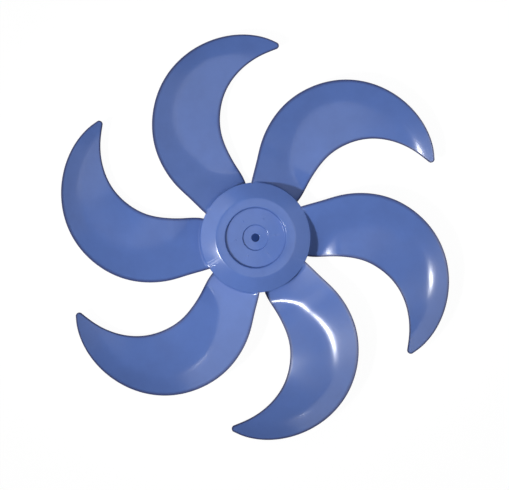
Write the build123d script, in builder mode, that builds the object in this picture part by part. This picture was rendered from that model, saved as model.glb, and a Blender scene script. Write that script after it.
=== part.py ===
"""A one-piece moulded axial fan impeller: sickle blades on a hollow hub with a coned front.

The impeller stands on the rear rim of its hub. The origin is on the shaft axis in the plane of
that rim, and +Z runs along the axis to the front, the side that the air leaves from.
Lengths are in millimetres and angles in degrees.
"""

import os
from math import atan2, cos, degrees, hypot, radians, sin, tan

from build123d import *

# ---- driving dimensions: hub ----
hub_radius = 55.0
hub_height = 34.0
hub_draft = 0.8  # the side wall draws in by this much at the rear rim
wall = 3.0
cone_slope = 20.0  # fall of the coned front band
face_radius = 39.5  # flat front ring, between the recess and the coned band
recess_radius = 30.5
recess_depth = 4.0
recess_draft = 0.3
seat_radius = 12.3  # seat for the washer and nut on the shaft
seat_depth = 2.0
shaft_radius = 4.0
bore_chamfer = 0.5

boss_radius = 15.0
boss_draft = 0.5
boss_setback = 2.0  # the boss ends this far in front of the rear rim
drive_slot_width = 4.5  # takes the cross pin of the shaft
drive_slot_depth = 6.0
rib_thickness = 2.0
rib_setback = 8.0

rim_bevel = 0.9
edge_bevel = 0.5
cone_bevel = 1.2  # softens the edge between the flat ring and the coned band
inner_bevel = 1.5

# ---- driving dimensions: blades ----
blade_count = 6
first_blade_angle = 7.0
blade_thickness = 2.6

# The outline of a blade seen along the axis. Each point is (radius, angle), with the angle
# measured from the middle of the blade's root, and runs from the hub out to the nose.
leading_edge = [
    (50, -28.0),
    (60, -26.1),
    (75, -21.9),
    (93, -19.25),
    (111, -19.1),
    (129, -21.25),
    (150, -25.8),
    (171, -33.2),
    (183, -39.3),
    (189, -42.8),
]
nose_point = (193.3, -44.0)
trailing_edge = [
    (50, 29.0),
    (60, 25.9),
    (75, 22.4),
    (93, 19.85),
    (114, 16.0),
    (138, 10.0),
    (162, 1.9),
    (180, -6.1),
    (195, -16.3),
    (203, -30.8),
    (201.2, -37.6),
    (197.4, -42.3),
]

# The blade's front face follows sections across the blade. They are parallel along the stalk, and
# then fan round an upright line on the hollow side of the sickle. A place along the blade is
# counted in stations: one is this far along the stalk, or this large a turn round the fan line.
fan_centre_x = 92.0
fan_centre_y = -68.0
fan_station = 2.0
station_length = 23.0
station_turn = 28.0
crease_softness = 14.0  # the crease turns over about this far on either side of its middle

# Each section is two nearly straight flanks that meet in a soft crease. The columns are: station,
# the distance from the fan line and the height at which the flanks would meet, and the slopes of
# the leading and trailing flanks.
sections = [
    (0.0, 72.0, 17.7, 0.20, 0.50),
    (1.0, 71.0, 18.8, 0.16, 0.48),
    (2.0, 71.5, 19.8, 0.12, 0.45),
    (3.0, 78.5, 20.9, 0.12, 0.43),
    (4.0, 84.0, 20.9, 0.16, 0.41),
    (5.0, 85.0, 19.7, 0.22, 0.39),
    (6.0, 84.0, 17.9, 0.27, 0.37),
    (6.9, 82.0, 16.6, 0.30, 0.36),
    (7.7, 81.0, 16.1, 0.30, 0.35),
]

# The face is a smooth surface through this many heights, over a rectangle round the outline.
skin_start = (38.0, -142.0)
skin_end = (200.0, 56.0)
skin_columns = 9
skin_rows = 11
skin_tolerance = 0.3

# ---- worked out from the driving dimensions ----
cone_drop = (hub_radius - face_radius) * tan(radians(cone_slope))
rim_height = hub_height - cone_drop
floor_height = hub_height - recess_depth
seat_height = floor_height - seat_depth
cavity_radius = hub_radius - wall
cone_underside = wall / cos(radians(cone_slope))
cavity_rim_height = rim_height + wall * tan(radians(cone_slope)) - cone_underside


def polar(radius, angle):
    """The point at a radius and an angle in the plane of the fan."""
    return (radius * cos(radians(angle)), radius * sin(radians(angle)))


def section_at(station):
    """The values of the section at a station, in between those of the given sections."""
    inside = min(max(station, sections[0][0]), sections[-1][0])
    for before, after in zip(sections, sections[1:]):
        if inside <= after[0]:
            share = (inside - before[0]) / (after[0] - before[0])
            return [start + share * (end - start) for start, end in zip(before, after)]


def blade_height(x, y):
    """Height of the blade's front face at a place in the plane of the fan."""
    along = x - fan_centre_x
    across = y - fan_centre_y
    if along <= 0:
        station = fan_station + along / station_length
        distance = across
    else:
        station = fan_station + (90 - degrees(atan2(across, along))) / station_turn
        distance = hypot(along, across)
    _, crease, height, lead_slope, trail_slope = section_at(station)
    offset = distance - crease
    bend = hypot(offset, crease_softness)
    return height + (lead_slope + trail_slope) / 2 * offset + (trail_slope - lead_slope) / 2 * bend


def spaced(start, end, count):
    """Evenly spaced values from start to end."""
    return [start + (end - start) * step / (count - 1) for step in range(count)]


def corners(profile, *places):
    """The corners of a profile that lie nearest to the given places."""
    return [profile.vertices().sort_by_distance(place)[0] for place in places]


# ---- blade: its outline, cut to a curved sheet by its front and back faces ----
front_skin = Face.make_surface_from_array_of_points(
    [
        [Vector(x, y, blade_height(x, y)) for y in spaced(skin_start[1], skin_end[1], skin_rows)]
        for x in spaced(skin_start[0], skin_end[0], skin_columns)
    ],
    tol=skin_tolerance,
    min_deg=3,
    max_deg=5,
)
back_skin = front_skin.moved(Location((0, 0, -blade_thickness)))

with BuildPart() as blade:
    with BuildSketch():
        with BuildLine():
            leading = Spline(*[polar(*point) for point in leading_edge])
            trailing = Spline(*[polar(*point) for point in trailing_edge])
            ThreePointArc(leading @ 1, polar(*nose_point), trailing @ 1)
            Line(leading @ 0, trailing @ 0)
        make_face()
    extrude(amount=hub_height * 2)
    split(bisect_by=front_skin, keep=Keep.BOTTOM)
    split(bisect_by=back_skin, keep=Keep.TOP)

    # the root ends in the middle of the hub's side wall
    Cylinder(hub_radius - wall / 2, hub_height * 4, mode=Mode.SUBTRACT)

# ---- stiffening rib under the front of the hub ----
with BuildPart() as rib:
    with BuildSketch(Plane.XZ):
        with BuildLine():
            Polyline(
                (boss_radius - wall, rib_setback),
                (hub_radius - wall / 2, rib_setback),
                (hub_radius - wall / 2, rim_height - wall / 2),
                (face_radius, hub_height - wall / 2),
                (recess_radius + wall / 2, hub_height - wall / 2),
                (recess_radius + wall / 2, floor_height - wall / 2),
                (boss_radius - wall, floor_height - wall / 2),
                close=True,
            )
        make_face()
    extrude(amount=rib_thickness / 2, both=True)

# ---- impeller: the hub is one revolved profile, and the blades and ribs grow out of it ----
with BuildPart() as impeller:
    with BuildSketch(Plane.XZ) as hub_profile:
        with BuildLine():
            Polyline(
                (0, seat_height),
                (seat_radius, seat_height),
                (seat_radius + recess_draft, floor_height),
                (recess_radius - recess_draft, floor_height),
                (recess_radius, hub_height),
                (face_radius, hub_height),
                (hub_radius, rim_height),
                (hub_radius - hub_draft, 0),
                (cavity_radius - hub_draft, 0),
                (cavity_radius, cavity_rim_height),
                (face_radius - inner_bevel, hub_height - wall),
                (recess_radius + wall, hub_height - wall),
                (recess_radius + wall, floor_height - wall),
                (boss_radius, floor_height - wall),
                (boss_radius - boss_draft, boss_setback),
                (0, boss_setback),
                close=True,
            )
        make_face()
        chamfer(corners(hub_profile, (face_radius, hub_height)), cone_bevel)
        chamfer(corners(hub_profile, (hub_radius, rim_height)), rim_bevel)
        chamfer(corners(hub_profile, (cavity_radius, cavity_rim_height)), inner_bevel)
        moulded_corners = corners(
            hub_profile,
            (recess_radius, hub_height),
            (seat_radius + recess_draft, floor_height),
            (hub_radius - hub_draft, 0),
        )
        chamfer(moulded_corners, edge_bevel)
    revolve(axis=Axis.Z)

    with PolarLocations(0, blade_count, start_angle=first_blade_angle):
        add(rib.part)

    with PolarLocations(0, blade_count, start_angle=first_blade_angle):
        add(blade.part)

    # shaft bore, opened a little at both ends, and the slot for the shaft's cross pin
    with Locations((0, 0, seat_height)):
        Hole(shaft_radius)
    bore_rims = impeller.edges().filter_by(
        lambda edge: edge.geom_type == GeomType.CIRCLE and abs(edge.radius - shaft_radius) < bore_chamfer
    )
    chamfer(bore_rims, length=bore_chamfer)
    with BuildSketch(Plane.XY.offset(boss_setback)):
        Rectangle(2 * boss_radius, drive_slot_width)
    extrude(amount=drive_slot_depth, mode=Mode.SUBTRACT)

os.makedirs("parts", exist_ok=True)
impeller.part.label = "impeller"
export_step(impeller.part, "parts/impeller.step")
print(f"impeller: {impeller.part.volume / 1000:.1f} cm3, {len(impeller.faces())} faces")
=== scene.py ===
"""Looks of a one-piece moulded axial fan impeller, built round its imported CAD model.

The impeller is one moulding of glossy blue plastic: a hollow hub with a coned front, and sickle
blades that grow out of the hub's side wall. It is modelled again here, finer than the CAD solid,
with rounded edges, a fillet at the root of each blade, feed-point pips and a moulded skin.
Lengths are in metres, in the frame of the CAD model: +Z runs along the shaft axis to the front.
"""

import logging
from collections.abc import Iterator
from contextlib import contextmanager
from dataclasses import dataclass, field
from enum import Enum
from math import cos, pi, radians, sin, tan

import bpy
import numpy as np
from mathutils import Matrix, Vector


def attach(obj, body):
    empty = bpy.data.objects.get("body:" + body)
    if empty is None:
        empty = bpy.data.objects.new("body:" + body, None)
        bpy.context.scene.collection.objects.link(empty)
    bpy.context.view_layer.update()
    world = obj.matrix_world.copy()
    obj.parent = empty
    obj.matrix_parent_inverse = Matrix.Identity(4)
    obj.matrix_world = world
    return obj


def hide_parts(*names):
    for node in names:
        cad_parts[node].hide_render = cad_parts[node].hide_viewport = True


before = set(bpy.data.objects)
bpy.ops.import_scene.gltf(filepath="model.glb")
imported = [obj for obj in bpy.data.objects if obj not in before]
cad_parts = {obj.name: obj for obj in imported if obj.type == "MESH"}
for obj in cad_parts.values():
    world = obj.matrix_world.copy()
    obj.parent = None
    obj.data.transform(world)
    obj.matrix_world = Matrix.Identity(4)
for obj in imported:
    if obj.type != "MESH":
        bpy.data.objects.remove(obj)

MM = 0.001
NODE = "impeller"
BODY = "root"
SHADED_EDGE_ATTRIBUTE = "shaded_edge"  # mesh attribute: 1 at the edge of a blade, where shade is painted and the gloss is duller, 0 away from it
TINY = 1e-9  # a length of nothing that can still be divided by

log = logging.getLogger("scene")


# ---- small tools of the trade ----


def linear(hex_colour: str) -> tuple[float, float, float, float]:
    """Turns an sRGB hex colour into Blender's linear colour.

    Args:
        hex_colour: Six hex digits, such as "5f7fc0".

    Returns:
        Linear red, green, blue and an alpha of 1.
    """
    channels = [int(hex_colour[i : i + 2], 16) / 255 for i in (0, 2, 4)]
    red, green, blue = (c / 12.92 if c <= 0.04045 else ((c + 0.055) / 1.055) ** 2.4 for c in channels)
    return red, green, blue, 1.0


def add_node(
    tree: bpy.types.NodeTree, kind: str, settings: dict | None = None, **inputs: object
) -> bpy.types.Node:
    """Adds a node to a tree, with its settings, input values and links.

    Args:
        tree: The node tree that the node goes into.
        kind: The node's type name, such as "ShaderNodeBsdfPrincipled".
        settings: Values of the node's own properties.
        **inputs: A value or an output socket for each input, under its name with spaces written
            as "_", or under "input_" and its number.

    Returns:
        The new node.
    """
    node = tree.nodes.new(kind)
    for name, value in (settings or {}).items():
        setattr(node, name, value)
    for name, value in inputs.items():
        number = name.removeprefix("input_")
        socket = node.inputs[int(number)] if number.isdigit() else node.inputs[name.replace("_", " ")]
        if isinstance(value, bpy.types.NodeSocket):
            tree.links.new(value, socket)
        else:
            socket.default_value = value
    return node


def select_only(piece: bpy.types.Object) -> None:
    """Makes a piece the one selected and active object.

    Args:
        piece: The object to select.
    """
    bpy.ops.object.select_all(action="DESELECT")
    piece.select_set(True)
    bpy.context.view_layer.objects.active = piece


@contextmanager
def editing(piece: bpy.types.Object) -> Iterator[None]:
    """Opens a piece in edit mode with all of it selected, and closes it again.

    Args:
        piece: The mesh object to edit.
    """
    select_only(piece)
    bpy.ops.object.mode_set(mode="EDIT")
    bpy.ops.mesh.select_mode(type="VERT")
    bpy.ops.mesh.select_all(action="SELECT")
    yield
    bpy.ops.object.mode_set(mode="OBJECT")


def settle(piece: bpy.types.Object, name: str) -> bpy.types.Object:
    """Names a piece and moves its place into its mesh, so that the object sits at the origin.

    Args:
        piece: The object to settle.
        name: The name that the object and its mesh get.

    Returns:
        The same object.
    """
    select_only(piece)
    bpy.ops.object.transform_apply(location=True, rotation=True, scale=True)
    piece.name = piece.data.name = name
    return piece


def combine(piece: bpy.types.Object, tool: bpy.types.Object, operation: str) -> None:
    """Joins a second solid to a piece or cuts it away, and deletes the second solid.

    Args:
        piece: The solid that stays.
        tool: The solid that is added or cut away.
        operation: "UNION" or "DIFFERENCE".
    """
    select_only(piece)
    modifier = piece.modifiers.new("combine", "BOOLEAN")
    modifier.operation = operation
    modifier.solver = "MANIFOLD"
    modifier.object = tool
    bpy.ops.object.modifier_apply(modifier=modifier.name)
    bpy.data.objects.remove(tool, do_unlink=True)


def smooth_line(points: list[tuple[float, float]], count: int) -> np.ndarray:
    """Draws a smooth curve through points, as a spline with free ends does.

    Args:
        points: The points in the plane.
        count: How many places along the curve are wanted.

    Returns:
        The places, evenly spaced along the curve, as an array of count by 2.
    """
    knots = np.asarray(points, dtype=float)
    reach = np.concatenate([[0.0], np.cumsum(np.hypot(*np.diff(knots, axis=0).T))])
    steps = np.diff(reach)
    size = len(knots)
    system = np.zeros((size, size))
    sides = np.zeros((size, 2))
    system[0, 0] = system[-1, -1] = 1.0
    for i in range(1, size - 1):
        system[i, i - 1 : i + 2] = steps[i - 1], 2 * (steps[i - 1] + steps[i]), steps[i]
        sides[i] = 6 * ((knots[i + 1] - knots[i]) / steps[i] - (knots[i] - knots[i - 1]) / steps[i - 1])
    bends = np.linalg.solve(system, sides)
    along = np.linspace(0, reach[-1], count)
    span = np.clip(np.searchsorted(reach, along, side="right") - 1, 0, size - 2)
    width = steps[span][:, None]
    before = ((reach[span + 1] - along)[:, None]) / width
    after = 1 - before
    bend = (before**3 - before) * bends[span] + (after**3 - after) * bends[span + 1]
    return before * knots[span] + after * knots[span + 1] + bend * width**2 / 6


def rounded(corners: list[tuple[float, float, float]], steps: int) -> list[tuple[float, float]]:
    """Rounds the corners of a closed outline.

    Args:
        corners: Each corner as x, y and the radius of its round, or 0 for a sharp one.
        steps: How many straight steps each round has.

    Returns:
        The points of the rounded outline.
    """
    outline = []
    for i, (x, y, radius) in enumerate(corners):
        corner = Vector((x, y))
        before = (Vector(corners[i - 1][:2]) - corner).normalized()
        after = (Vector(corners[(i + 1) % len(corners)][:2]) - corner).normalized()
        if radius == 0:
            outline.append((x, y))
            continue
        half = before.angle(after) / 2
        centre = corner + (before + after).normalized() * (radius / sin(half))
        start = corner + before * (radius / tan(half)) - centre
        end = corner + after * (radius / tan(half)) - centre
        sweep = start.angle_signed(end)
        for step in range(steps + 1):
            turn = Matrix.Rotation(-sweep * step / steps, 2)
            outline.append(tuple(centre + turn @ start))
    return outline


# ---- finishes ----


@dataclass(frozen=True)
class MouldedPlastic:
    """Injection-moulded ABS in a solid blue, straight from a polished mould.

    The eye gets a bright, slightly soft gloss on an even body colour. Up close the gloss wavers a
    little, because the skin has the faint orange peel of a moulding, and handling has left cloudy
    patches that are less glossy. Along the edge of each blade a thin band has painted shade in
    its colour, and its gloss is duller.
    """

    name: str = "moulded_abs_blue"
    colour: str = "5b78bd"
    cloudy_colour: str = "5772b4"
    # painted shade: the colour of the thin dark band along each blade's edge
    painted_edge_shade_colour: str = "343f72"
    edge_roughness: float = 0.5
    gloss_roughness: float = 0.17
    cloudy_roughness: float = 0.23
    ior: float = 1.53
    cloud_size: float = 38 * MM
    cloud_start: float = 0.35  # level of the noise where a cloudy patch begins
    cloud_full: float = 0.68  # level where it is at its cloudiest
    peel_size: float = 4.5 * MM  # the real ripple is about 1 mm long, and is drawn coarser to show
    peel_height: float = 0.010 * MM
    grain_size: float = 0.9 * MM
    grain_height: float = 0.0015 * MM

    def make(self) -> bpy.types.Material:
        """Builds the material.

        Returns:
            The finished material.
        """
        material = bpy.data.materials.new(self.name)
        material.use_nodes = True
        tree = material.node_tree
        tree.nodes.clear()
        place = add_node(tree, "ShaderNodeTexCoord").outputs["Object"]
        clouds = add_node(
            tree, "ShaderNodeTexNoise", Vector=place, Scale=1 / self.cloud_size, Detail=4.0, Roughness=0.6
        )
        handled = add_node(
            tree,
            "ShaderNodeMapRange",
            Value=clouds.outputs["Fac"],
            From_Min=self.cloud_start,
            From_Max=self.cloud_full,
        )
        body = add_node(
            tree,
            "ShaderNodeMix",
            {"data_type": "RGBA"},
            Factor=handled.outputs["Result"],
            input_6=linear(self.colour),
            input_7=linear(self.cloudy_colour),
        )
        roughness = add_node(
            tree,
            "ShaderNodeMapRange",
            Value=handled.outputs["Result"],
            To_Min=self.gloss_roughness,
            To_Max=self.cloudy_roughness,
        )
        # the band along each blade's edge gets painted shade in its colour and a duller gloss
        shaded_edge = add_node(tree, "ShaderNodeAttribute", {"attribute_name": SHADED_EDGE_ATTRIBUTE})
        body_with_painted_edge_shade = add_node(
            tree,
            "ShaderNodeMix",
            {"data_type": "RGBA"},
            Factor=shaded_edge.outputs["Fac"],
            input_6=body.outputs[2],
            input_7=linear(self.painted_edge_shade_colour),
        )
        edged_roughness = add_node(
            tree,
            "ShaderNodeMix",
            Factor=shaded_edge.outputs["Fac"],
            input_2=roughness.outputs["Result"],
            input_3=self.edge_roughness,
        )
        peel = add_node(tree, "ShaderNodeTexNoise", Vector=place, Scale=1 / self.peel_size, Detail=1.5)
        peel_bump = add_node(
            tree, "ShaderNodeBump", Strength=1.0, Distance=self.peel_height, Height=peel.outputs["Fac"]
        )
        grain = add_node(tree, "ShaderNodeTexNoise", Vector=place, Scale=1 / self.grain_size, Detail=2.0)
        grain_bump = add_node(
            tree,
            "ShaderNodeBump",
            Strength=1.0,
            Distance=self.grain_height,
            Height=grain.outputs["Fac"],
            Normal=peel_bump.outputs["Normal"],
        )
        shader = add_node(
            tree,
            "ShaderNodeBsdfPrincipled",
            Base_Color=body_with_painted_edge_shade.outputs[2],
            Roughness=edged_roughness.outputs[0],
            IOR=self.ior,
            Normal=grain_bump.outputs["Normal"],
        )
        add_node(tree, "ShaderNodeOutputMaterial", Surface=shader.outputs["BSDF"])
        return material


@dataclass(frozen=True)
class PaperFloor:
    """Matt white background paper, which shows as white and keeps a soft shadow.

    Under the hub the glow is painted a dim blue, as painted shade of the hub's hollow, seen through
    the shaft bore.
    """

    name: str = "matt_background_paper"
    colour: str = "a0a0a0"  # what the impeller sees
    glow: float = 0.95  # what the camera sees even in a shadow
    shadow_share: float = 0.10  # what lamps add to it, and a shadow takes away
    # painted shade: the dim blue glow of the floor under the hub, seen through the shaft bore
    painted_hollow_shade_colour: str = "22386e"
    painted_hollow_shade_radius: float = 50 * MM

    def make(self) -> bpy.types.Material:
        """Builds the material.

        Returns:
            The finished material.
        """
        material = bpy.data.materials.new(self.name)
        material.use_nodes = True
        tree = material.node_tree
        tree.nodes.clear()
        paper = add_node(tree, "ShaderNodeBsdfDiffuse", Color=linear(self.colour))
        place = add_node(tree, "ShaderNodeTexCoord").outputs["Object"]
        reach = add_node(tree, "ShaderNodeVectorMath", {"operation": "LENGTH"}, input_0=place)
        open_floor = add_node(
            tree,
            "ShaderNodeMath",
            {"operation": "GREATER_THAN"},
            input_0=reach.outputs["Value"],
            input_1=self.painted_hollow_shade_radius,
        )
        # under the hub the glow is painted shade of the hollow, elsewhere even white
        glow = add_node(
            tree,
            "ShaderNodeMix",
            {"data_type": "RGBA"},
            Factor=open_floor.outputs[0],
            input_6=linear(self.painted_hollow_shade_colour),
            input_7=(self.glow, self.glow, self.glow, 1),
        )
        white = add_node(tree, "ShaderNodeEmission", Color=glow.outputs[2], Strength=1.0)
        shadow_grey = (self.shadow_share, self.shadow_share, self.shadow_share, 1)
        dim = add_node(tree, "ShaderNodeBsdfDiffuse", Color=shadow_grey)
        seen = add_node(tree, "ShaderNodeAddShader", input_0=white.outputs[0], input_1=dim.outputs[0])
        camera = add_node(tree, "ShaderNodeLightPath").outputs["Is Camera Ray"]
        mix = add_node(
            tree, "ShaderNodeMixShader", input_0=camera, input_1=paper.outputs[0], input_2=seen.outputs[0]
        )
        add_node(tree, "ShaderNodeOutputMaterial", Surface=mix.outputs[0])
        return material


# ---- the hub ----


@dataclass
class Hub:
    """The hollow hub: a turned shell with a sunk front, a bored boss and stiffening ribs."""

    radius: float = 55 * MM
    height: float = 34 * MM
    draft: float = 0.8 * MM
    wall: float = 3 * MM
    cone_slope: float = radians(21.5)
    face_radius: float = 39.5 * MM
    recess_radius: float = 30.5 * MM
    recess_depth: float = 4 * MM
    recess_draft: float = 1.1 * MM
    recess_round: float = 1.1 * MM
    seat_radius: float = 12.3 * MM
    seat_depth: float = 2 * MM
    seat_draft: float = 0.7 * MM
    shaft_radius: float = 4 * MM
    bore_round: float = 0.5 * MM
    boss_radius: float = 15 * MM
    boss_draft: float = 0.5 * MM
    boss_setback: float = 2 * MM
    slot_length: float = 33 * MM  # past both sides of the boss
    slot_width: float = 4.5 * MM
    slot_depth: float = 6 * MM
    rib_thickness: float = 2 * MM
    rib_setback: float = 8 * MM
    rim_round: float = 0.9 * MM
    edge_round: float = 0.7 * MM
    cone_round: float = 6 * MM
    inner_round: float = 2 * MM
    pip_circle: float = 20 * MM
    pip_radius: float = 1.0 * MM
    pip_height: float = 0.35 * MM
    pip_segments: int = 20
    rib_cuts: int = 7
    segments: int = 160
    round_steps: int = 5

    @property
    def rim_height(self) -> float:
        """Height of the front edge of the side wall."""
        return self.height - (self.radius - self.face_radius) * tan(self.cone_slope)

    @property
    def floor_height(self) -> float:
        """Height of the floor of the front recess."""
        return self.height - self.recess_depth

    @property
    def seat_height(self) -> float:
        """Height of the sunk seat round the bore."""
        return self.floor_height - self.seat_depth

    def wall_radius(self, height: float | np.ndarray) -> float | np.ndarray:
        """Radius of the outside of the side wall.

        Args:
            height: The height above the rear rim.

        Returns:
            The radius there, smaller towards the rear by the draft of the mould.
        """
        return self.radius - self.draft * (1 - height / self.rim_height)

    def cone_height(self, radius: float | np.ndarray) -> float | np.ndarray:
        """Height of the coned front band, which falls away from the flat ring.

        Args:
            radius: The distance from the shaft axis.

        Returns:
            The height there.
        """
        return self.rim_height + (self.radius - radius) * tan(self.cone_slope)

    def profile(self) -> list[tuple[float, float]]:
        """Radius and height of each ring of the hub, once round its section.

        Returns:
            The rings, from the front of the bore outwards and back through the hollow.
        """
        cavity = self.radius - self.wall
        underside = self.wall / cos(self.cone_slope)
        cavity_rim = self.rim_height + self.wall * tan(self.cone_slope) - underside
        ceiling = self.height - self.wall
        floor_back = self.floor_height - self.wall
        corners = [
            (self.shaft_radius, self.seat_height, self.bore_round),
            (self.seat_radius, self.seat_height, self.bore_round),
            (self.seat_radius + self.seat_draft, self.floor_height, self.edge_round),
            (self.recess_radius - self.recess_draft, self.floor_height, self.edge_round),
            (self.recess_radius, self.height, self.recess_round),
            (self.face_radius, self.height, self.cone_round),
            (self.radius, self.rim_height, self.rim_round),
            (self.radius - self.draft, 0, self.edge_round),
            (cavity - self.draft, 0, self.edge_round),
            (cavity, cavity_rim, self.inner_round),
            (self.face_radius - self.inner_round, ceiling, self.inner_round),
            (self.recess_radius + self.wall, ceiling, self.edge_round),
            (self.recess_radius + self.wall, floor_back, self.edge_round),
            (self.boss_radius, floor_back, self.inner_round),
            (self.boss_radius - self.boss_draft, self.boss_setback, self.edge_round),
            (self.shaft_radius, self.boss_setback, self.bore_round),
        ]
        return rounded(corners, self.round_steps)

    def turn(self) -> bpy.types.Object:
        """Turns the hub's section about the shaft axis, ring by ring.

        Returns:
            The closed shell of the hub.
        """
        rings = self.profile()
        radius, height = rings[0]
        bpy.ops.mesh.primitive_circle_add(vertices=self.segments, radius=radius, location=(0, 0, height))
        hub = settle(bpy.context.object, "hub")
        with editing(hub):
            for next_radius, next_height in rings[1:]:
                bpy.ops.mesh.extrude_edges_move(
                    TRANSFORM_OT_translate={"value": (0, 0, next_height - height)}
                )
                grow = next_radius / radius
                bpy.ops.transform.resize(value=(grow, grow, 1), center_override=(0, 0, next_height))
                radius, height = next_radius, next_height
            bpy.ops.mesh.select_all(action="DESELECT")
            bpy.ops.mesh.select_non_manifold()
            bpy.ops.mesh.bridge_edge_loops()
            bpy.ops.mesh.select_all(action="SELECT")
            bpy.ops.mesh.normals_make_consistent(inside=False)
        return hub

    def rib(self, angle: float) -> bpy.types.Object:
        """Builds one stiffening rib, from the boss to the side wall.

        Args:
            angle: Where the rib stands round the hub, in radians.

        Returns:
            The rib, with its top buried in the front of the hub.
        """
        inner = self.boss_radius - self.wall / 2
        outer = self.radius - self.wall / 2
        length = outer - inner
        bpy.ops.mesh.primitive_cube_add(
            size=1, location=((inner + outer) / 2, 0, (self.rib_setback + self.floor_height) / 2)
        )
        rib = bpy.context.object
        rib.scale = (length, self.rib_thickness, self.floor_height - self.rib_setback)
        rib = settle(rib, "rib")
        # the top is cut into steps and follows the underside of the front, sunk into its wall
        with editing(rib):
            bpy.ops.mesh.subdivide(number_cuts=self.rib_cuts, quadcorner="INNERVERT")
        for vertex in rib.data.vertices:
            share = (vertex.co.z - self.rib_setback) / (self.floor_height - self.rib_setback)
            top = self.front_middle(vertex.co.x)
            vertex.co.z = self.rib_setback + share * (top - self.rib_setback)
        rib.data.transform(Matrix.Rotation(angle, 4, "Z"))
        return rib

    def front_middle(self, radius: float) -> float:
        """Height of the middle of the front wall, where the ribs end.

        Args:
            radius: The distance from the shaft axis.

        Returns:
            The height there.
        """
        if radius < self.recess_radius + self.wall / 2:
            return self.floor_height - self.wall / 2
        return min(self.height, self.cone_height(radius)) - self.wall / 2

    def pip(self, angle: float) -> bpy.types.Object:
        """Builds one low pip, left by a feed point of the mould.

        Args:
            angle: Where the pip is round the hub, in radians.

        Returns:
            The pip, standing in the floor of the recess.
        """
        bpy.ops.mesh.primitive_uv_sphere_add(
            segments=self.pip_segments, ring_count=self.pip_segments // 2, radius=self.pip_radius
        )
        pip = bpy.context.object
        pip.scale.z = 2 * self.pip_height / self.pip_radius
        pip.location = (
            self.pip_circle * cos(angle),
            self.pip_circle * sin(angle),
            self.floor_height - self.pip_height,
        )
        return settle(pip, "pip")

    def build(self, angles: list[float]) -> bpy.types.Object:
        """Builds the hub with its ribs, pips, bore and pin slot.

        Args:
            angles: Where the blades' roots stand, in radians. Ribs and pips are in line with them.

        Returns:
            The finished hub.
        """
        hub = self.turn()
        for angle in angles:
            combine(hub, self.rib(angle), "UNION")
            combine(hub, self.pip(angle), "UNION")
        bpy.ops.mesh.primitive_cube_add(size=1)
        slot = bpy.context.object
        slot.scale = (self.slot_length, self.slot_width, 2 * self.slot_depth)
        slot.location.z = self.boss_setback
        combine(hub, settle(slot, "pin_slot"), "DIFFERENCE")
        log.info("hub: %d faces", len(hub.data.polygons))
        return hub


# ---- the blades ----


@dataclass(frozen=True)
class Section:
    """One upright section across a blade: two nearly straight flanks that meet in a soft crease."""

    station: float  # how far along the blade the section stands
    crease: float  # distance of the crease from the fan line
    height: float  # height at which the trailing flank crosses the spine
    lead_slope: float
    trail_slope: float


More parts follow.
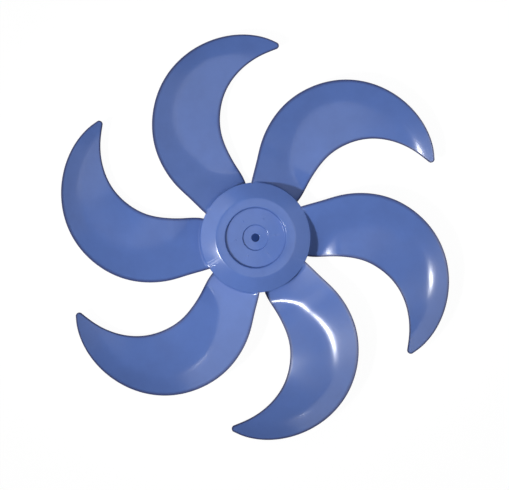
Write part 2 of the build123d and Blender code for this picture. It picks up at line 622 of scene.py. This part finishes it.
@dataclass
class Blade:
    """One sickle blade: a thin twisted sheet with a crease along it and rounded edges.

    Along the stalk its sections are parallel. Farther out they fan round an upright line on the
    hollow side of the sickle. Points of the outline are (radius, angle) in millimetres and degrees.
    """

    leading_edge: list[tuple[float, float]] = field(
        default_factory=lambda: [
            (50, -28.0),
            (60, -26.1),
            (75, -21.9),
            (93, -19.25),
            (111, -19.1),
            (129, -21.25),
            (150, -25.8),
            (171, -33.2),
            (183, -39.3),
            (189.7, -43.5),
        ]
    )
    nose: tuple[float, float] = (193.3, -44.0)
    trailing_edge: list[tuple[float, float]] = field(
        default_factory=lambda: [
            (50, 29.0),
            (60, 25.9),
            (75, 22.4),
            (93, 19.85),
            (114, 16.0),
            (138, 10.0),
            (162, 1.9),
            (180, -6.1),
            (195, -16.3),
            (203, -30.8),
            (201.2, -37.6),
            (198.2, -41.3),
            (196.0, -43.2),
        ]
    )
    fan_x: float = 92 * MM
    fan_y: float = -68 * MM
    station_length: float = 23 * MM  # along the stalk
    station_turn: float = radians(28)  # round the fan line
    fan_station: float = 2.0
    spine: float = 72 * MM  # distance from the fan line
    sections: tuple[Section, ...] = (
        Section(0.0, 0.0 * MM, 20.4 * MM, 0.10, 0.38),
        Section(1.0, 52.0 * MM, 20.0 * MM, 0.10, 0.42),
        Section(1.4, 61.5 * MM, 19.9 * MM, 0.10, 0.44),
        Section(2.0, 67.0 * MM, 20.4 * MM, 0.13, 0.46),
        Section(3.0, 76.0 * MM, 20.1 * MM, 0.17, 0.46),
        Section(4.0, 81.0 * MM, 18.2 * MM, 0.20, 0.47),
        Section(5.0, 78.0 * MM, 16.6 * MM, 0.21, 0.52),
        Section(6.0, 74.0 * MM, 16.0 * MM, 0.22, 0.53),
        Section(6.93, 71.0 * MM, 15.6 * MM, 0.24, 0.52),
        Section(7.71, 69.0 * MM, 15.0 * MM, 0.25, 0.50),
    )
    crease_softness: float = 5 * MM
    thickness: float = 2.6 * MM
    edge_round: float = 0.8 * MM
    # width of the band of painted shade and duller gloss along the blade's edges
    shaded_edge_width: float = 1.8 * MM
    root_round: float = 2.4 * MM
    root_radius: float = 53.4 * MM  # the root ends inside the hub's side wall
    stalk_end: float = 1.4  # station where the rows of the sheet have become straight
    root_rows: int = 18
    root_crowding: float = 1.8  # how much closer the rows of the root are at the hub
    body_rows: int = 96
    nose_rows: int = 9
    inner_columns: int = 26
    outline_points: int = 1200
    edge_steps: tuple[float, ...] = (0.0, 0.04, 0.16, 0.35, 0.6, 0.9, 1.3)  # in edge rounds

    def station_at(self, places: np.ndarray) -> np.ndarray:
        """How far along the blade some places are.

        Args:
            places: The places, with x and y in the last axis.

        Returns:
            The station of each place.
        """
        x = places[..., 0] - self.fan_x
        y = places[..., 1] - self.fan_y
        stalk = self.fan_station + x / self.station_length
        fan = self.fan_station + (pi / 2 - np.arctan2(y, x)) / self.station_turn
        return np.where(x < 0, stalk, fan)

    def front(self, places: np.ndarray) -> np.ndarray:
        """Height of the middle of the blade's front face, before edges and root are shaped.

        Args:
            places: The places, with x and y in the last axis.

        Returns:
            The height at each place.
        """
        station = self.station_at(places)
        stations = [section.station for section in self.sections]
        crease, height, lead, trail = (
            interpolate(stations, [getattr(section, name) for section in self.sections], station)
            for name in ("crease", "height", "lead_slope", "trail_slope")
        )
        x = np.maximum(places[..., 0] - self.fan_x, 0)
        across = np.hypot(x, places[..., 1] - self.fan_y) - crease
        soft = np.hypot(across, self.crease_softness)
        # the height at the crease, reached along the trailing flank from where it crosses the spine
        ridge = height + trail * (crease - self.spine)
        return ridge + (lead + trail) / 2 * across + (trail - lead) / 2 * soft

    def edges(self) -> tuple[np.ndarray, np.ndarray, np.ndarray, np.ndarray]:
        """Places along the outline, as the rows of the sheet need them.

        Returns:
            The leading and trailing places of the body, and those of the nose.
        """
        to_plane = [
            [(r * MM * cos(radians(a)), r * MM * sin(radians(a))) for r, a in points]
            for points in (self.leading_edge, self.trailing_edge, [self.nose])
        ]
        leading, trailing = (smooth_line(points, self.outline_points) for points in to_plane[:2])
        start, end, tip = Vector(leading[-1]), Vector(trailing[-1]), Vector(to_plane[2][0])
        centre = circle_centre(start, tip, end)
        steps = [step / self.nose_rows for step in range(1, self.nose_rows + 1)]
        nose_lead = np.array([swing(start, tip, centre, step) for step in steps])
        nose_trail = np.array([swing(end, tip, centre, step) for step in steps])
        return leading, trailing, nose_lead, nose_trail

    def rows(self) -> tuple[np.ndarray, np.ndarray, np.ndarray]:
        """The two ends of each row of the sheet, and how straight the row is.

        Returns:
            Leading ends, trailing ends, and a share from 0 for an arc to 1 for a straight row.
        """
        leading, trailing, nose_lead, nose_trail = self.edges()
        shares = np.linspace(0, 1, self.root_rows, endpoint=False) ** self.root_crowding
        ends = []
        for edge in (leading, trailing):
            radius = np.hypot(*edge.T)
            first = int(np.argmax(radius >= self.root_radius))
            station = self.station_at(edge)
            last = int(np.argmax(station >= self.stalk_end))
            root = first + shares * (last - first)
            body_stations = np.linspace(self.stalk_end, station[-1], self.body_rows)
            body = np.interp(body_stations, station[last:], np.arange(last, len(edge)))
            index = np.concatenate([root, body])
            places = np.arange(len(edge))
            ends.append(np.stack([np.interp(index, places, edge[:, k]) for k in (0, 1)], axis=-1))
        straight = np.concatenate([shares, np.ones(self.body_rows + self.nose_rows)])
        lead = np.concatenate([ends[0], nose_lead])
        trail = np.concatenate([ends[1], nose_trail])
        return lead, trail, straight

    def plan(self) -> np.ndarray:
        """Places of the sheet's vertices, seen along the shaft axis.

        Returns:
            The places as an array of rows by columns by 2.
        """
        lead, trail, straight = self.rows()
        width = np.hypot(*(trail - lead).T)[:, None]
        steps = np.array(self.edge_steps) * self.edge_round
        margin = steps[None, :] * np.minimum(1, width / (4 * steps[-1]))
        inner = np.linspace(0, 1, self.inner_columns + 2)[None, 1:-1]
        body = margin[:, -1:] + inner * (width - 2 * margin[:, -1:])
        across = np.concatenate([margin, body, width - margin[:, ::-1]], axis=1)
        share = (across / np.maximum(width, TINY))[..., None]
        chord = lead[:, None] * (1 - share) + trail[:, None] * share
        polar = [(np.hypot(*end.T), np.arctan2(end[:, 1], end[:, 0])) for end in (lead, trail)]
        share = share[..., 0]
        radius = polar[0][0][:, None] * (1 - share) + polar[1][0][:, None] * share
        angle = polar[0][1][:, None] * (1 - share) + polar[1][1][:, None] * share
        arc = np.stack([radius * np.cos(angle), radius * np.sin(angle)], axis=-1)
        blend = straight[:, None, None]
        return arc * (1 - blend) + chord * blend

    def inset(self, places: np.ndarray) -> np.ndarray:
        """How far inside the outline some places are.

        Args:
            places: The places, with x and y in the last axis.

        Returns:
            The distance of each place from the outline.
        """
        lead, trail, _ = self.rows()
        return distance_to_line(places, np.concatenate([lead, trail[::-1]]))

    def faces_at(self, places: np.ndarray, hub: Hub) -> tuple[np.ndarray, np.ndarray]:
        """Heights of the front and back faces, with rounded edges and a filleted root.

        Args:
            places: The places of the sheet's vertices in plan.
            hub: The hub that the blade grows out of.

        Returns:
            The height of the front and of the back at each place.
        """
        reach = np.maximum(self.edge_round - self.inset(places), 0)
        drop = self.edge_round - np.sqrt(np.maximum(self.edge_round**2 - reach**2, 0))
        top = self.front(places)
        bottom = top - self.thickness
        radius = np.hypot(places[..., 0], places[..., 1])
        front = top + self.flare(radius - hub.wall_radius(top))
        front = np.minimum(front, np.maximum(top, hub.cone_height(radius)))
        back = bottom - self.flare(radius - hub.wall_radius(bottom))
        return front - drop, back + drop

    def flare(self, gap: np.ndarray) -> np.ndarray:
        """How far a face rises in the root fillet.

        Args:
            gap: The distance from the hub's side wall.

        Returns:
            The rise at each distance.
        """
        reach = np.clip(self.root_round - gap, 0, self.root_round)
        return self.root_round - np.sqrt(self.root_round**2 - reach**2)

    def build(self, hub: Hub) -> bpy.types.Object:
        """Builds the blade at angle 0.

        Args:
            hub: The hub that the blade grows out of.

        Returns:
            The closed shell of the blade.
        """
        places = self.plan()
        front, back = self.faces_at(places, hub)
        rows, columns = front.shape
        bpy.ops.mesh.primitive_grid_add(x_subdivisions=columns - 1, y_subdivisions=rows - 1, size=1)
        blade = settle(bpy.context.object, "blade")
        with editing(blade):
            bpy.ops.mesh.extrude_region_move(TRANSFORM_OT_translate={"value": (0, 0, -1)})
        # the grid at height 0 becomes the front, and its copy at height -1 the back
        # a mesh attribute marks the band along the outline that gets painted shade and a duller gloss
        shaded_edge = blade.data.attributes.new(SHADED_EDGE_ATTRIBUTE, "FLOAT", "POINT")
        edge_shade_and_dullness = np.clip(2 - 2 * self.inset(places) / self.shaded_edge_width, 0, 1)
        for vertex in blade.data.vertices:
            column = round((vertex.co.x + 0.5) * (columns - 1))
            row = round((vertex.co.y + 0.5) * (rows - 1))
            height = front if vertex.co.z > -0.5 else back
            vertex.co = (*places[row, column], height[row, column])
            shaded_edge.data[vertex.index].value = edge_shade_and_dullness[row, column]
        with editing(blade):
            bpy.ops.mesh.remove_doubles(threshold=1e-6)
            bpy.ops.mesh.dissolve_degenerate(threshold=1e-7)
            bpy.ops.mesh.normals_make_consistent(inside=False)
        return blade


def interpolate(knots: list[float], values: list[float], wanted: np.ndarray) -> np.ndarray:
    """Smooth values between given ones, with a steady slope at each of them.

    Args:
        knots: Where the values are given.
        values: The given values.
        wanted: Where values are wanted.

    Returns:
        The value at each wanted place.
    """
    x, y = np.array(knots), np.array(values)
    slopes = np.gradient(y, x)
    at = np.clip(wanted, x[0], x[-1])
    span = np.clip(np.searchsorted(x, at, side="right") - 1, 0, len(x) - 2)
    width = x[span + 1] - x[span]
    t = (at - x[span]) / width
    start = (1 + 2 * t) * (1 - t) ** 2 * y[span] + t * (1 - t) ** 2 * width * slopes[span]
    end = t**2 * (3 - 2 * t) * y[span + 1] + t**2 * (t - 1) * width * slopes[span + 1]
    return start + end


def circle_centre(first: Vector, second: Vector, third: Vector) -> Vector:
    """Centre of the circle through three points in the plane.

    Args:
        first: One point.
        second: Another point.
        third: The last point.

    Returns:
        The centre.
    """
    rows = np.array([2 * (second - first), 2 * (third - first)])
    sides = [second.length_squared - first.length_squared, third.length_squared - first.length_squared]
    return Vector(np.linalg.solve(rows, sides))


def swing(start: Vector, end: Vector, centre: Vector, share: float) -> tuple[float, float]:
    """A place on an arc.

    Args:
        start: Where the arc starts.
        end: Where it ends, less than half a turn away.
        centre: The centre of the arc.
        share: How far along the arc the place is, from 0 to 1.

    Returns:
        The place.
    """
    sweep = (start - centre).angle_signed(end - centre)
    return tuple(centre + Matrix.Rotation(-sweep * share, 2) @ (start - centre))


def distance_to_line(places: np.ndarray, line: np.ndarray) -> np.ndarray:
    """Distance from places to a line of straight pieces.

    Args:
        places: The places, with x and y in the last axis.
        line: The corners of the line.

    Returns:
        The distance of each place.
    """
    nearest = np.full(places.shape[:-1], np.inf)
    for start, end in zip(line, line[1:]):
        run = end - start
        length = max(float(run @ run), TINY**2)
        share = np.clip(((places - start) @ run) / length, 0, 1)
        foot = start + share[..., None] * run
        nearest = np.minimum(nearest, np.hypot(*np.moveaxis(places - foot, -1, 0)))
    return nearest


# ---- the whole moulding ----


@dataclass
class Impeller:
    """The one-piece impeller: the hub with the blades joined to its side wall."""

    hub: Hub = field(default_factory=Hub)
    blade: Blade = field(default_factory=Blade)
    blade_count: int = 6
    first_angle: float = radians(7)
    smooth_angle: float = radians(40)

    def build(self) -> bpy.types.Object:
        """Builds the moulding as one closed shell.

        Returns:
            The finished piece.
        """
        angles = [self.first_angle + 2 * pi * i / self.blade_count for i in range(self.blade_count)]
        piece = self.hub.build(angles)
        pattern = self.blade.build(self.hub)
        log.info("blade: %d faces", len(pattern.data.polygons))
        for angle in angles:
            blade = bpy.data.objects.new("blade", pattern.data.copy())
            bpy.context.collection.objects.link(blade)
            blade.data.transform(Matrix.Rotation(angle, 4, "Z"))
            combine(piece, blade, "UNION")
        bpy.data.objects.remove(pattern, do_unlink=True)
        piece.name = piece.data.name = "impeller_moulding"
        select_only(piece)
        bpy.ops.object.shade_smooth_by_angle(angle=self.smooth_angle)
        return piece

    def dress(self, piece: bpy.types.Object, finish: MouldedPlastic) -> None:
        """Gives the moulding its finish and hangs it on the CAD model.

        Args:
            piece: The moulding.
            finish: Its plastic.
        """
        piece.data.materials.clear()
        piece.data.materials.append(finish.make())
        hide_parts(NODE)
        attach(piece, BODY)
        log.info("impeller: %d faces", len(piece.data.polygons))


# ---- studio ----


class LampShape(Enum):
    """Outlines of the studio lamps."""

    ROUND = "DISK"
    SQUARE = "RECTANGLE"
    BEAM = "SPOT"


@dataclass(frozen=True)
class Lamp:
    """A studio lamp that faces the impeller."""

    name: str
    azimuth: float  # degrees round from +X towards +Y
    zenith: float  # degrees down from straight above
    width: float
    height: float
    share: float  # what it adds to the light on a surface that faces up, 1 being plain light
    distance: float = 2.5
    shape: LampShape = LampShape.SQUARE
    beam: float = 0.0  # degrees across the cone of a beam
    fade: float = 0.7  # share of a beam over which it fades out towards its rim
    aim: tuple[float, float] = (0.0, 0.0)  # where it points, from the shaft axis

    def place(self, target: Vector) -> None:
        """Puts the lamp in the scene.

        Args:
            target: What the lamp faces.
        """
        across, up = sin(radians(self.zenith)), cos(radians(self.zenith))
        towards = Vector((across * cos(radians(self.azimuth)), across * sin(radians(self.azimuth)), up))
        # lit by an area lamp of power P, white paper that faces up is as bright as
        # P cos(zenith) / (pi distance)^2
        power = self.share * (pi * self.distance) ** 2 / up
        if self.shape is LampShape.BEAM:
            data = bpy.data.lights.new(self.name, "SPOT")
            data.shadow_soft_size = self.width / 2
            data.spot_size, data.spot_blend = radians(self.beam), self.fade
            data.energy = 4 * power  # the power of a spot is counted as if it shone all round
        else:
            data = bpy.data.lights.new(self.name, "AREA")
            data.shape = self.shape.value
            data.size, data.size_y = self.width, self.height
            data.energy = power
        lamp = bpy.data.objects.new(self.name, data)
        lamp.location = target + towards * self.distance
        lamp.rotation_mode = "QUATERNION"
        facing = lamp.location - target - Vector((*self.aim, 0))
        lamp.rotation_quaternion = facing.to_track_quat("Z", "Y")
        bpy.context.collection.objects.link(lamp)


@dataclass
class Studio:
    """A white floor, plain soft light and the camera."""

    floor_size: float = 12.0
    frame_width: float = 0.509  # what the picture is wide at the height of the blades
    blade_level: float = 20 * MM
    camera_distance: float = 2.2
    camera_azimuth: float = 135.0
    camera_zenith: float = 1.5
    aim_x: float = -0.8 * MM
    aim_y: float = -7.5 * MM
    sensor: float = 36.0
    sky: float = 0.18  # strength of the even light of the room
    lamps: tuple[Lamp, ...] = (
        Lamp(
            "key",
            azimuth=205,
            zenith=34,
            width=0.24,
            height=0.24,
            share=0.56,
            shape=LampShape.BEAM,
            beam=12,
            aim=(-10 * MM, 22 * MM),
        ),
        Lamp("left_softbox", azimuth=162, zenith=44, width=2.6, height=1.2, share=0.14),
        Lamp("ceiling", azimuth=347, zenith=18, width=1.8, height=1.8, share=0.15),
        Lamp(
            "glint",
            azimuth=136,
            zenith=36,
            width=0.12,
            height=0.12,
            share=0.01,
            shape=LampShape.ROUND,
        ),
        Lamp("right_softbox", azimuth=8, zenith=46, width=2.2, height=1.6, share=0.05),
    )

    def lay_floor(self, finish: PaperFloor) -> None:
        """Lays the background paper under the impeller.

        Args:
            finish: The paper.
        """
        bpy.ops.object.select_all(action="DESELECT")
        bpy.ops.mesh.primitive_plane_add(size=self.floor_size)
        floor = settle(bpy.context.object, "floor")
        floor.data.materials.append(finish.make())

    def light(self) -> None:
        """Places the lamps and the even light of the room, which the camera sees as white."""
        target = Vector((0, 0, self.blade_level))
        for lamp in self.lamps:
            lamp.place(target)
            log.info("lamp: %s", lamp.name)
        world = bpy.data.worlds.new("room")
        world.use_nodes = True
        tree = world.node_tree
        tree.nodes.clear()
        camera = add_node(tree, "ShaderNodeLightPath").outputs["Is Camera Ray"]
        strength = add_node(tree, "ShaderNodeMapRange", Value=camera, To_Min=self.sky, To_Max=1.0)
        room = add_node(tree, "ShaderNodeBackground", Strength=strength.outputs["Result"])
        add_node(tree, "ShaderNodeOutputWorld", Surface=room.outputs[0])
        bpy.context.scene.world = world

    def set_camera(self) -> None:
        """Sets the camera almost straight above the impeller, with +Y up in the picture."""
        data = bpy.data.cameras.new("camera")
        data.sensor_width = self.sensor
        data.lens = self.sensor * self.camera_distance / self.frame_width
        camera = bpy.data.objects.new("camera", data)
        bpy.context.collection.objects.link(camera)
        across, up = sin(radians(self.camera_zenith)), cos(radians(self.camera_zenith))
        back = Vector(
            (across * cos(radians(self.camera_azimuth)), across * sin(radians(self.camera_azimuth)), up)
        )
        aim = Vector((self.aim_x, self.aim_y, self.blade_level))
        right = Vector((0, 1, 0)).cross(back).normalized()
        turn = Matrix((right, back.cross(right), back)).transposed()
        camera.location = aim + back * self.camera_distance
        camera.rotation_mode = "QUATERNION"
        camera.rotation_quaternion = turn.to_quaternion()
        bpy.context.scene.camera = camera
        bpy.context.scene.view_settings.view_transform = "Standard"


def main() -> None:
    """Builds the impeller and its studio."""
    logging.basicConfig(level=logging.INFO, format="%(message)s")
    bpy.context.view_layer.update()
    impeller = Impeller()
    piece = impeller.build()
    impeller.dress(piece, MouldedPlastic())
    studio = Studio()
    studio.lay_floor(PaperFloor())
    studio.light()
    studio.set_camera()


if __name__ == "__main__":
    main()
